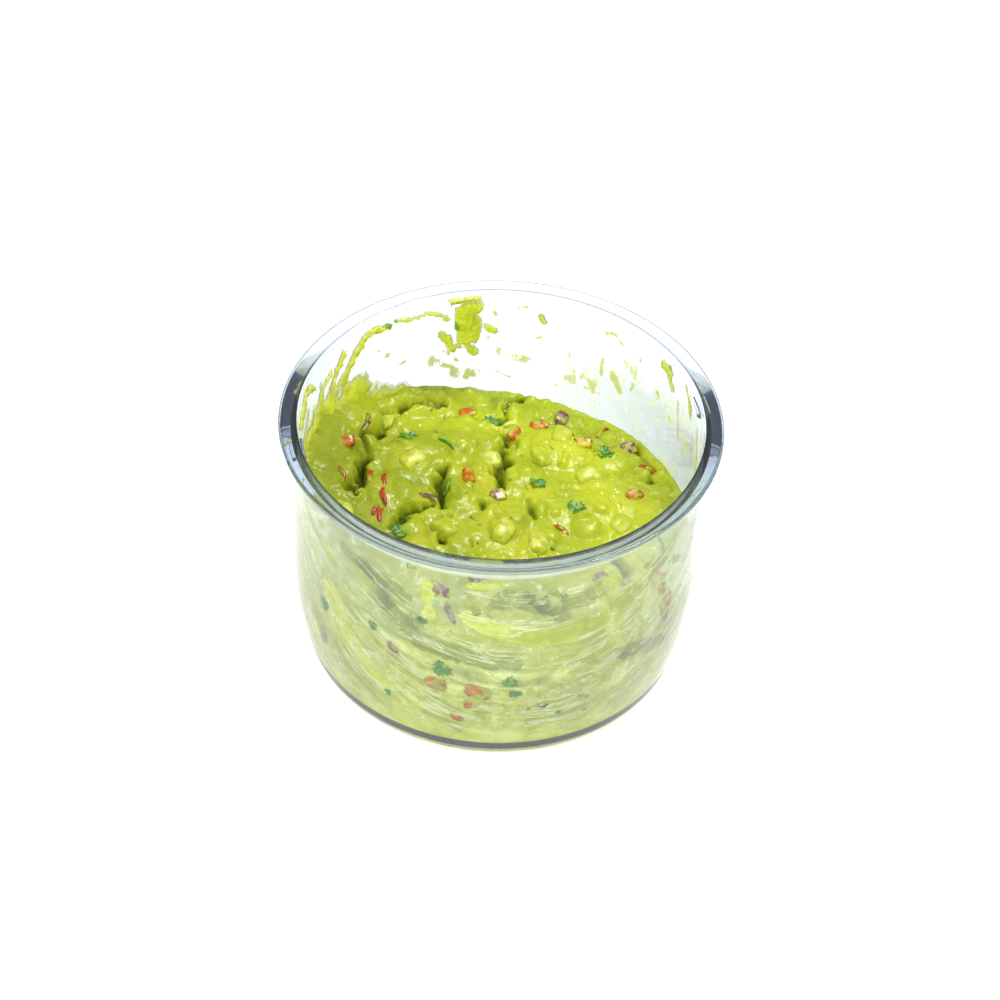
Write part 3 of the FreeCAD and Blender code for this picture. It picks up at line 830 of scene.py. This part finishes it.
def strip(finish, size, seed, bend):
    """A sliver: a thin bent strip with tapered ends."""
    rng = np.random.default_rng(seed)
    rows, points, faces = 14, [], []
    length, width, thickness = size
    for n in range(rows):
        share = n / (rows - 1) * 2 - 1
        taper = math.sqrt(max(0.0, 1 - abs(share) ** 2.6)) * 0.92 + 0.08
        rise = -bend * length * 0.5 * share * share + rng.normal(0, 0.02) * thickness
        sway = 0.06 * length * math.sin(share * 2.4 + seed)
        for k in range(8):
            angle = 2 * math.pi * k / 8
            points.append((share * length / 2, sway + width / 2 * taper * math.cos(angle),
                           rise + thickness / 2 * taper * math.sin(angle)))
    for n in range(rows - 1):
        for k in range(8):
            m = (k + 1) % 8
            faces.append((n * 8 + k, n * 8 + m, n * 8 + 8 + m, n * 8 + 8 + k))
    faces.append(tuple(range(7, -1, -1)))
    faces.append(tuple(range((rows - 1) * 8, rows * 8)))
    made = piece("strip", points, faces, finish)
    recalculated(made)
    skin = [1.0 if math.sin(2 * math.pi * (n % 8) / 8) > 0.3 else 0.0 for n in range(len(points))]
    add_attribute(made, "skin", skin)
    return made


def recalculated(made):
    """Turns the faces of a closed mesh outwards."""
    shape = bmesh.new()
    shape.from_mesh(made.data)
    bmesh.ops.recalc_face_normals(shape, faces=shape.faces)
    shape.to_mesh(made.data)
    shape.free()


def leaf(finish, size, seed):
    """A chopped coriander leaf: lobed, toothed and curled."""
    rng = np.random.default_rng(round(seed * 10))
    spokes, rings, points, faces = 60, 6, [(0.0, 0.0, 0.0)], []
    for ring in range(1, rings + 1):
        for n in range(spokes):
            angle = 2 * math.pi * n / spokes
            edge = 0.55 + 0.32 * abs(math.cos(angle * 1.5)) + 0.1 * math.cos(angle * 12 + seed)
            edge *= 1 + 0.1 * rng.normal() * (ring == rings)
            out = edge * ring / rings
            x, y = out * math.cos(angle), out * math.sin(angle)
            z = 0.35 * (x * x) * math.cos(seed) + 0.3 * y * y + 0.08 * math.sin(angle * 5 + seed) * out
            points.append((x * size[0] / 2, y * size[1] / 2, z * size[0] / 3))
    for n in range(spokes):
        m = (n + 1) % spokes
        faces.append((0, 1 + n, 1 + m))
        for ring in range(rings - 1):
            a, b = 1 + ring * spokes, 1 + (ring + 1) * spokes
            faces.append((a + n, b + n, b + m, a + m))
    made = piece("leaf", points, faces, finish)
    skin = made.modifiers.new("skin", "SOLIDIFY")
    skin.thickness = 0.00025
    return flattened(made)


def scatter(name, shapes, finish, places):
    """One mesh of shapes set at places. A place is a middle, a turn, a size, a shape's number and a coat."""
    middles, turns, sizes, picks, coats = zip(*places)
    turns = [tuple(Matrix(np.asarray(turn).tolist()).to_euler()) for turn in turns]
    picks = [pick % len(shapes) for pick in picks]
    holder = bpy.data.meshes.new(name + "_places")
    holder.from_pydata([tuple(m) for m in middles], [], [])
    for layer, kind, field, values in (
            ("turn", "FLOAT_VECTOR", "vector", turns), ("size", "FLOAT_VECTOR", "vector", sizes),
            ("pick", "INT", "value", picks), ("coated", "FLOAT", "value", coats)):
        numbers = np.array(values, np.int32 if kind == "INT" else np.float32)
        holder.attributes.new(layer, kind, "POINT").data.foreach_set(field, numbers.ravel())
    made = bpy.data.objects.new(name, holder)
    bpy.context.collection.objects.link(made)
    store = bpy.data.collections.new(name + "_shapes")
    for n, shape in enumerate(shapes):
        bpy.context.collection.objects.unlink(shape)
        shape.name = f"{name}_{n:02d}"
        store.objects.link(shape)

    group = bpy.data.node_groups.new(name, "GeometryNodeTree")
    group.interface.new_socket("Geometry", in_out="INPUT", socket_type="NodeSocketGeometry")
    scale = group.interface.new_socket("Overall size", in_out="INPUT", socket_type="NodeSocketFloat")
    finish_input = group.interface.new_socket("Finish", in_out="INPUT", socket_type="NodeSocketMaterial")
    group.interface.new_socket("Geometry", in_out="OUTPUT", socket_type="NodeSocketGeometry")
    g = Tree(group)
    start = g.node("NodeGroupInput").socket.node
    given, overall, coat = (Wire(g, start.outputs[n]) for n in range(3))
    shapes_in = g.node("GeometryNodeCollectionInfo", sockets={"Collection": store, "Separate Children": True})
    turn, size, pick = (
        g.node("GeometryNodeInputNamedAttribute", {"data_type": kind}, {"Name": layer})
        for layer, kind in (("turn", "FLOAT_VECTOR"), ("size", "FLOAT_VECTOR"), ("pick", "INT")))
    scaled = g.node("ShaderNodeVectorMath", {"operation": "SCALE"}, {0: size, "Scale": overall})
    rotation = g.node("FunctionNodeEulerToRotation", sockets={0: turn})
    set_out = g.node("GeometryNodeInstanceOnPoints", sockets={
        "Points": given, "Instance": shapes_in, "Pick Instance": True, "Instance Index": pick,
        "Rotation": rotation, "Scale": scaled})
    real = g.node("GeometryNodeRealizeInstances", sockets={"Geometry": set_out})
    coated = g.node("GeometryNodeSetMaterial", sockets={"Geometry": real, "Material": coat})
    g.node("NodeGroupOutput", sockets={0: coated})
    modifier = made.modifiers.new("scatter", "NODES")
    modifier.node_group = group
    modifier[scale.identifier] = 1.0
    modifier[finish_input.identifier] = finish
    flattened(made)
    bpy.data.collections.remove(store)
    for shape in shapes:
        bpy.data.objects.remove(shape)
    return made


def block_places(node, surface, sink, coat=0.22):
    """Places of a CAD node's blocks, moved up or down onto the food's surface."""
    places = []
    for n, corners in enumerate(islands(node)):
        middle, turn, sizes = block_frame(corners)
        middle[2] = float(surface.sample(middle[0], middle[1])) + sizes[2] * (0.5 - sink)
        places.append((middle, turn, (1.0, 1.0, 1.0), n % 4, coat))
    return places


def loose_places(surface, count, size_range, seed, sink):
    """Places of smaller bits, anywhere on the food's surface."""
    rng = np.random.default_rng(seed)
    places = []
    for n in range(count):
        angle, out = rng.random() * 2 * math.pi, math.sqrt(rng.random()) * inner_radius * 0.95
        x, y = out * math.cos(angle), out * math.sin(angle)
        size = size_range[0] + (size_range[1] - size_range[0]) * rng.random() ** 2
        turn = Matrix.Rotation(rng.random() * 6.28, 3, "Z") @ Matrix.Rotation(rng.normal() * 0.5, 3, "X")
        turn = turn @ Matrix.Rotation(rng.normal() * 0.4, 3, "Y")
        middle = np.array([x, y, float(surface.sample(x, y)) + 0.0004 - sink * 0.002])
        places.append((middle, np.array(turn), (size, size, size), n % 4, 0.2 + 0.3 * rng.random()))
    return places


def wall_places(spots, out=0.0001, coat=0.28):
    """Places against the wall. A spot is a direction, a height in mm, a turn and a size, in degrees."""
    places = []
    for n, (direction, height, turn, size) in enumerate(spots):
        angle, level = math.radians(direction), height * 0.001
        radius = wall_at(level) + out
        outward = Matrix.Rotation(angle, 3, "Z") @ Matrix.Rotation(math.pi / 2, 3, "Y")
        turned = outward @ Matrix.Rotation(math.radians(turn), 3, "Z")
        middle = np.array([radius * math.cos(angle), radius * math.sin(angle), level])
        places.append((middle, np.array(turned), (size, size, size * 0.35), wall_bit_start + n % 4, coat))
    return places


# Bits that lie against the wall: direction, height in mm, turn and size. The front is 270 degrees.
wall_tomato = (
    (255, 40.5, 90, 1.15), (266.5, 39.5, 80, 1.2), (264, 32.5, 0, 0.6), (261, 24.5, 45, 0.7),
    (281, 31, 0, 0.35), (325.5, 56, 10, 1.2), (331, 46, 0, 0.8), (323, 66, 0, 0.8), (265.5, 79, 20, 0.65),
    (298, 24, 20, 0.4), (20, 38, 0, 0.8), (70, 30, 40, 0.9), (120, 44, 10, 0.8), (165, 35, 60, 0.7),
    (200, 28, 20, 0.8),
)
wall_onion = (
    (242, 51.5, 40, 0.8), (214, 32.5, 0, 1.2), (254.5, 86, 0, 0.6), (257, 85.5, 0, 0.6),
    (285, 31.5, 60, 0.6), (297, 31, 60, 0.7), (40, 42, 0, 0.8), (95, 24, 30, 0.9), (142, 30, 70, 0.8),
    (185, 44, 20, 0.8),
)
wall_leaf = (
    (256.5, 48.5, 200, 1.15), (275.5, 45, 60, 0.9), (277, 39, 100, 0.7), (250.5, 69.5, 90, 0.65),
    (216, 50, 0, 0.9), (235.5, 57.5, 10, 0.7), (240, 27, 10, 0.5), (326, 50, 10, 0.8), (290, 26, 40, 0.4),
    (5, 45, 50, 0.8), (55, 36, 90, 0.8), (110, 35, 10, 0.8), (150, 40, 30, 0.8), (195, 20, 80, 0.8),
)

# A long strip of tomato skin on the left: x and y in mm, turn in degrees and size.
long_strip = ((-41.5, 8, 80, 1.0), (-41, 0, 95, 1.05), (-41.5, -8, 86, 1.0))


def chosen_places(surface, spots, sink):
    places = []
    for n, (x, y, turn, size) in enumerate(spots):
        middle = np.array([x * 0.001, y * 0.001, float(surface.sample(x * 0.001, y * 0.001)) - sink])
        places.append((middle, np.array(Matrix.Rotation(math.radians(turn), 3, "Z")), (size,) * 3, n, 0.0))
    return places


def make_vegetables(surface, finishes):
    """A piece for each CAD node of cut food: its own solids, and more bits on the food and the wall."""
    def lumps(finish, size, seed, rounding, wobble, count=4):
        return [lump(finishes[finish], size, seed + n, rounding, wobble) for n in range(count)]

    def strips(finish, size, seed, bend, count=4):
        return [strip(finishes[finish], size, seed + n, bend) for n in range(count)]

    def places(node, sink, count, low, high, seed, loose_sink, coat=0.22):
        loose = loose_places(surface, count, (low, high), seed, loose_sink)
        return block_places(node, surface, sink, coat) + loose

    dice = lumps("tomato", (0.0068, 0.0046, 0.0032), 20, 0.3, 0.14)
    dice += lumps("tomato", (0.0068, 0.0050, 0.0032), 120, 0.7, 0.42)
    rings = lumps("red_onion", (0.0058, 0.0050, 0.0034), 40, 0.28, 0.1)
    rings += lumps("red_onion", (0.0066, 0.0040, 0.0034), 140, 0.7, 0.42)
    leaves = [leaf(finishes["coriander"], (0.0082, 0.0066), 1 + n * 1.7) for n in range(8)]
    batches = (
        ("tomato_dice", "tomato_bits", "tomato", dice,
         places("tomato_dice", 0.62, 14, 0.2, 0.42, 31, 0.6) + wall_places(wall_tomato)),
        ("tomato_slivers", "tomato_skin_strips", "tomato",
         strips("tomato", (0.0100, 0.0019, 0.0011), 0, 0.25),
         places("tomato_slivers", 0.3, 8, 0.3, 0.5, 32, 0.2) + chosen_places(surface, long_strip, -0.0003)),
        ("red_onion_dice", "red_onion_bits", "red_onion", rings,
         places("red_onion_dice", 0.45, 7, 0.2, 0.36, 33, 0.6) + wall_places(wall_onion)),
        ("red_onion_slivers", "red_onion_strips", "red_onion",
         strips("red_onion", (0.0118, 0.0021, 0.0011), 5, 0.12),
         places("red_onion_slivers", 0.1, 6, 0.3, 0.55, 34, 0.1)),
        ("coriander_leaves", "coriander_leaf_bits", "coriander", leaves,
         places("coriander_leaves", 0.0, 34, 0.10, 0.34, 35, 0.1, 0.1) + wall_places(wall_leaf, 0.0004, 0.1)),
        ("coriander_stems", "coriander_stalks", "coriander",
         strips("coriander", (0.0090, 0.0011, 0.0011), 11, 0.1, 3),
         places("coriander_stems", 0.2, 8, 0.3, 0.6, 36, 0.1, 0.1)),
        ("avocado_chunks", "avocado_pieces", "avocado",
         lumps("avocado", (0.0098, 0.0070, 0.0062), 60, 0.55, 0.16, 5),
         places("avocado_chunks", 0.82, 26, 0.2, 0.5, 37, 1.0)),
    )
    return {node: scatter(name, shapes, finishes[finish], spots)
            for node, name, finish, shapes, spots in batches}


# ---------------------------------------------------------------- food on the wall

# Smears on the wall: thickness and half width in mm, then direction in degrees and height in mm along each.
smears = (
    (2.3, 5.0, ((101.5, 94), (101.5, 88))), (2.2, 4.0, ((101.5, 88), (101.5, 81))),
    (1.5, 2.0, ((100.5, 77), (99, 74))), (1.4, 1.5, ((103.5, 78), (105.5, 77), (107.5, 80.5), (109.5, 84))),
    (1.2, 1.2, ((95.5, 86), (93.5, 83.5))), (1.2, 0.9, ((98.5, 99.5), (103, 100), (107, 99))),
    (1.2, 0.8, ((98.5, 99.5), (98, 98))),
    (1.0, 0.8, ((107.5, 91), (110, 94), (114, 95.5), (118, 95), (121, 95.5), (124.5, 96.5))),
    (1.4, 1.5, ((128, 95.5), (132, 96.5), (136, 95.5), (139, 92))),
    (1.4, 1.6, ((139, 92), (142, 87), (145, 82))), (1.0, 1.1, ((145, 84), (149, 79))),
    (1.2, 1.2, ((144.5, 95), (148, 90), (151, 84))), (1.0, 0.8, ((150.5, 91.5), (154, 89.5), (156, 87))),
    (1.1, 1.3, ((162, 93.5), (166, 97), (170, 97.5), (173, 93))), (1.0, 1.2, ((172, 95), (176.5, 90))),
    (0.9, 2.2, ((35, 95.5), (33, 95))), (0.8, 1.2, ((32.5, 93), (31, 89.5))),
    (0.8, 1.0, ((20, 94.5), (18.5, 90))), (0.8, 1.0, ((79.5, 92), (78.5, 90.5))),
)


def wall_arcs(direction, height):
    """Distance along the wall and height, in metres."""
    return math.radians(direction) * inner_radius, height * 0.001


def make_wall_smears(surface, finish):
    """Thick smears on the wall, and streaks where the food climbs it on the left."""
    columns = int(2 * math.pi * inner_radius / smear_step)
    levels = np.arange(0.046, 0.1010, smear_step)
    along = np.arange(columns) * (2 * math.pi * inner_radius / columns)
    s, z = np.meshgrid(along, levels, indexing="ij")
    ragged = layered_noise(s, z, 0.0034, 90, 4)
    fine = layered_noise(s, z, 0.0013, 95, 2)
    thick = np.full(s.shape, -0.0006)
    for rise, half, line in smears:
        path = np.array([wall_arcs(*spot) for spot in line])
        away = to_line(s + ragged * 0.0034, z + fine * 0.0022, path) / (half * 0.001 * (1 + 0.9 * ragged))
        body = rise * 0.001 * (np.clip(1 - away * away, 0, 1) ** 0.7 * (1 + 0.8 * fine) - 0.3 * (away > 1))
        thick = np.maximum(thick, body)
    edge = surface.sample(inner_radius * np.cos(s / inner_radius), inner_radius * np.sin(s / inner_radius))
    direction = np.degrees(s / inner_radius)
    left = np.interp(direction, (118, 132, 200, 216), (0, 1, 1, 0))
    streaky = layered_noise(s + 0.25 * z, z / 3.2, 0.0038, 97, 3)
    climb = left * (0.50 + 1.05 * streaky + 0.5 * ragged) - np.clip((z - edge) / 0.020, 0, 1)
    climb = np.where(left > 0, climb, -1)
    thick = np.maximum(thick, np.clip(climb, -0.1, 1) * 0.0026)
    used = thick > 0
    used = used | np.roll(used, 1, 0) | np.roll(used, -1, 0)
    used[:, 1:] |= used[:, :-1].copy()
    used[:, :-1] |= used[:, 1:].copy()
    return skin_on_wall("wall_smear_skin", s, z, thick, used, finish)


def skin_on_wall(name, s, z, thick, used, finish):
    """A closed skin of the given thickness over the used cells of a grid that is wrapped round the wall."""
    columns, rows = s.shape
    wrapped = np.concatenate([used, used[:1]], 0)
    cell = wrapped[:-1, :-1] & wrapped[1:, :-1] & wrapped[:-1, 1:] & wrapped[1:, 1:]
    number = np.arange(columns * rows).reshape(columns, rows)
    right = np.roll(number, -1, 0)
    i, j = np.nonzero(cell)
    quads = np.stack([number[i, j], right[i, j], right[i, j + 1], number[i, j + 1]], 1)
    back = quads[:, ::-1] + columns * rows
    front_radius = wall_at(z) - thick
    back_radius = wall_at(z) + food_wetting
    front_radius = np.minimum(front_radius, back_radius - 0.00002)
    angle = s / inner_radius
    points = np.concatenate([np.stack([r * np.cos(angle), r * np.sin(angle), z], -1).reshape(-1, 3)
                             for r in (front_radius, back_radius)])
    edges = {}
    for quad in quads.tolist():
        for a, b in zip(quad, quad[1:] + quad[:1]):
            if edges.pop((b, a), None) is None:
                edges[(a, b)] = True
    total = columns * rows
    rims = [(b, a, a + total, b + total) for a, b in edges]
    faces = np.concatenate([quads, back, np.array(rims)]) if rims else np.concatenate([quads, back])
    kept, faces = np.unique(faces, return_inverse=True)
    made = piece(name, points[kept], faces.reshape(-1, 4)[:, ::-1], finish)
    thin = np.concatenate([np.clip(1 - thick / 0.0010, 0, 1).ravel()] * 2)
    add_attribute(made, "thin", thin[kept])
    return made


def make_film(finish):
    """A see-through skin on the wall, from the foot of the side to just under the lugs."""
    top = lip_level - film_drop
    angle = np.arange(film_columns) * 2 * math.pi / film_columns
    a, z = np.meshgrid(angle, np.linspace(film_foot, top, film_rows), indexing="ij")
    radius = wall_at(z) + film_wetting
    points = np.stack([radius * np.cos(a), radius * np.sin(a), z], -1).reshape(-1, 3)
    number = np.arange(film_columns * film_rows).reshape(film_columns, film_rows)
    right = np.roll(number, -1, 0)
    faces = np.stack([number[:, :-1], right[:, :-1], right[:, 1:], number[:, 1:]], -1).reshape(-1, 4)
    made = piece("wall_film", points, faces, finish)
    direction = np.degrees(a) % 360
    ends = np.clip((top - 0.006 - z) / 0.006, 0, 1) * np.clip((z - film_foot) / 0.008, 0, 1)
    dense = np.interp(direction, *np.array(film_density).T)
    high = np.clip((z - 0.05) / (top - 0.05), 0, 1)
    add_attribute(made, "cover", (ends * dense * (1 - 0.45 * high)).ravel())
    along = a * inner_radius
    # Above 0 are dabs of food, below 0 are sheets of painted shade.
    daub = np.zeros(a.shape)
    for strength, half, line in film_dabs_and_shade_sheets:
        away = to_line(along, z, np.array([wall_arcs(*spot) for spot in line])) / (half * 0.0012)
        share = np.clip(1 - away ** 2, 0, 1)
        daub = np.where(share > 0, daub + (strength * share - daub) * share ** 0.3, daub)
    add_attribute(made, "daub", daub.ravel())
    under_lugs = np.clip((top - 0.002 - z) / 0.022, 0, 1)
    add_attribute(made, "haze", (under_lugs * np.interp(direction, *np.array(film_haze).T)).ravel())
    ring = np.clip((z - top + film_drop) / 0.0006, 0, 1) * np.clip((top - z) / 0.0004, 0, 1)
    add_attribute(made, "ring", (ring * np.interp(direction, (195, 225, 320, 345), (0, 1, 1, 0))).ravel())
    return made


# ---------------------------------------------------------------- surroundings

def make_floor(finish):
    corners = [(-4, -4, 0), (4, -4, 0), (4, 4, 0), (-4, 4, 0)]
    piece("floor", corners, [(0, 1, 2, 3)], finish, smooth=False)


def make_lamp(name, place, target, size, watts, in_gloss=True):
    lamp = bpy.data.lights.new(name, "AREA")
    lamp.shape = "RECTANGLE"
    lamp.size, lamp.size_y = size
    lamp.energy = watts
    made = bpy.data.objects.new(name, lamp)
    made.visible_glossy = made.visible_transmission = in_gloss
    made.location = place
    made.rotation_euler = (Vector(target) - Vector(place)).to_track_quat("-Z", "Y").to_euler()
    bpy.context.collection.objects.link(made)


def make_world():
    """A white studio with a dark band near the horizon, which draws the dark lines in clear plastic."""
    world = bpy.data.worlds.new("studio")
    world.use_nodes = True
    world.node_tree.nodes.clear()
    w = Tree(world.node_tree)
    way = w.node("ShaderNodeTexCoord", output="Generated")
    up = w.node("ShaderNodeSeparateXYZ", sockets={"Vector": way}, output="Z")
    light = w.ramp(up * 0.5 + 0.5, [
        (0.0, (0.9, 0.93, 0.97)), (0.47, (0.75, 0.8, 0.88)), (0.5, (0.015, 0.03, 0.07)),
        (0.64, (0.02, 0.035, 0.08)), (0.72, (0.7, 0.76, 0.88)), (1.0, (1.0, 1.0, 1.0)),
    ])
    lit = w.node("ShaderNodeBackground", sockets={"Color": light, "Strength": 0.62})
    seen = w.node("ShaderNodeBackground", sockets={"Color": (1.0, 1.0, 1.0, 1.0), "Strength": 1.0})
    direct = w.node("ShaderNodeLightPath", output="Is Camera Ray")
    mixed = w.node("ShaderNodeMixShader", sockets={0: direct, 1: lit, 2: seen})
    w.node("ShaderNodeOutputWorld", sockets={"Surface": mixed})
    bpy.context.scene.world = world


def make_camera(elevation=43.15, distance=1.0, roll=2.56, lens=99.4):
    """The camera looks along +Y and down at a spot just above the middle of the bowl."""
    target = Vector((0.0007, 0.0069, 0.0574))
    e = math.radians(elevation)
    forward = Vector((0.0, math.cos(e), -math.sin(e)))
    camera = bpy.data.objects.new("camera", bpy.data.cameras.new("camera"))
    camera.location = Vector((0.0, 0.0, 0.05)) - forward * distance
    forward = (target - camera.location).normalized()
    right = forward.cross(Vector((0.0, 0.0, 1.0))).normalized()
    turn = Matrix.Rotation(-math.radians(roll), 3, forward)
    right = turn @ right
    upward = right.cross(forward)
    axes = Matrix((right, upward, -forward)).transposed().to_4x4()
    camera.matrix_world = Matrix.Translation(camera.location) @ axes
    camera.data.sensor_width = 36.0
    camera.data.lens = lens
    bpy.context.collection.objects.link(camera)
    bpy.context.scene.camera = camera


# ---------------------------------------------------------------- assembly

side_levels = np.concatenate([np.linspace(floor_level + 0.0003, 0.02, 24), np.linspace(0.022, 0.056, 12)])
side_radii = np.array([side_radius(level) for level in side_levels])
side_levels = np.insert(side_levels, 0, floor_level - food_wetting)
side_radii = np.insert(side_radii, 0, side_radii[0] - 0.0015)

finishes = {
    "clear": clear_plastic(),
    "rubber": grip_rubber(),
    "steel": stainless_steel(),
    "white": moulded_plastic("white_plastic", (0.86, 0.87, 0.85), (0.78, 0.79, 0.77)),
    "bearing": moulded_plastic("bearing_plastic", (0.80, 0.78, 0.70), (0.70, 0.68, 0.60)),
    "mash": mashed_avocado(),
    "avocado": avocado_flesh(),
    "tomato": tomato(),
    "red_onion": red_onion(),
    "coriander": coriander(),
    "film": smear_film(),
    "smear": wall_smear(),
}
node_finishes = {
    "bowl": "clear", "grip_ring": "rubber", "spindle_pin": "steel", "lower_blade": "steel",
    "middle_blade": "steel", "upper_blade": "steel", "cutter_stem": "white", "lower_spacer": "white",
    "upper_spacer": "white", "stem_cap": "white", "stem_bush": "bearing",
}
for node, finish in node_finishes.items():
    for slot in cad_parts[node].material_slots:
        slot.material = finishes[finish]

surface = FoodSurface()
batch = make_guacamole(surface, finishes["mash"])
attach(batch, "filled_bowl")
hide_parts("guacamole")

for node, made in make_vegetables(surface, finishes).items():
    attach(made, "filled_bowl")
    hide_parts(node)

skin = make_wall_smears(surface, finishes["smear"])
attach(skin, "filled_bowl")
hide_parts("wall_smears")
film = make_film(finishes["film"])
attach(film, "filled_bowl")

make_floor(pale_floor())
make_world()
make_lamp("key", (0.35, 0.35, 1.1), (0, 0, 0.06), (0.35, 0.3), 9.0)
make_lamp("front fill", (0.25, -1.1, 0.55), (0, 0, 0.03), (0.7, 0.5), 7.0, in_gloss=False)
make_lamp("left fill", (-0.9, -0.8, 0.45), (0, 0, 0.03), (0.6, 0.5), 6.0, in_gloss=False)
make_camera()
bpy.context.scene.view_settings.view_transform = "Standard"
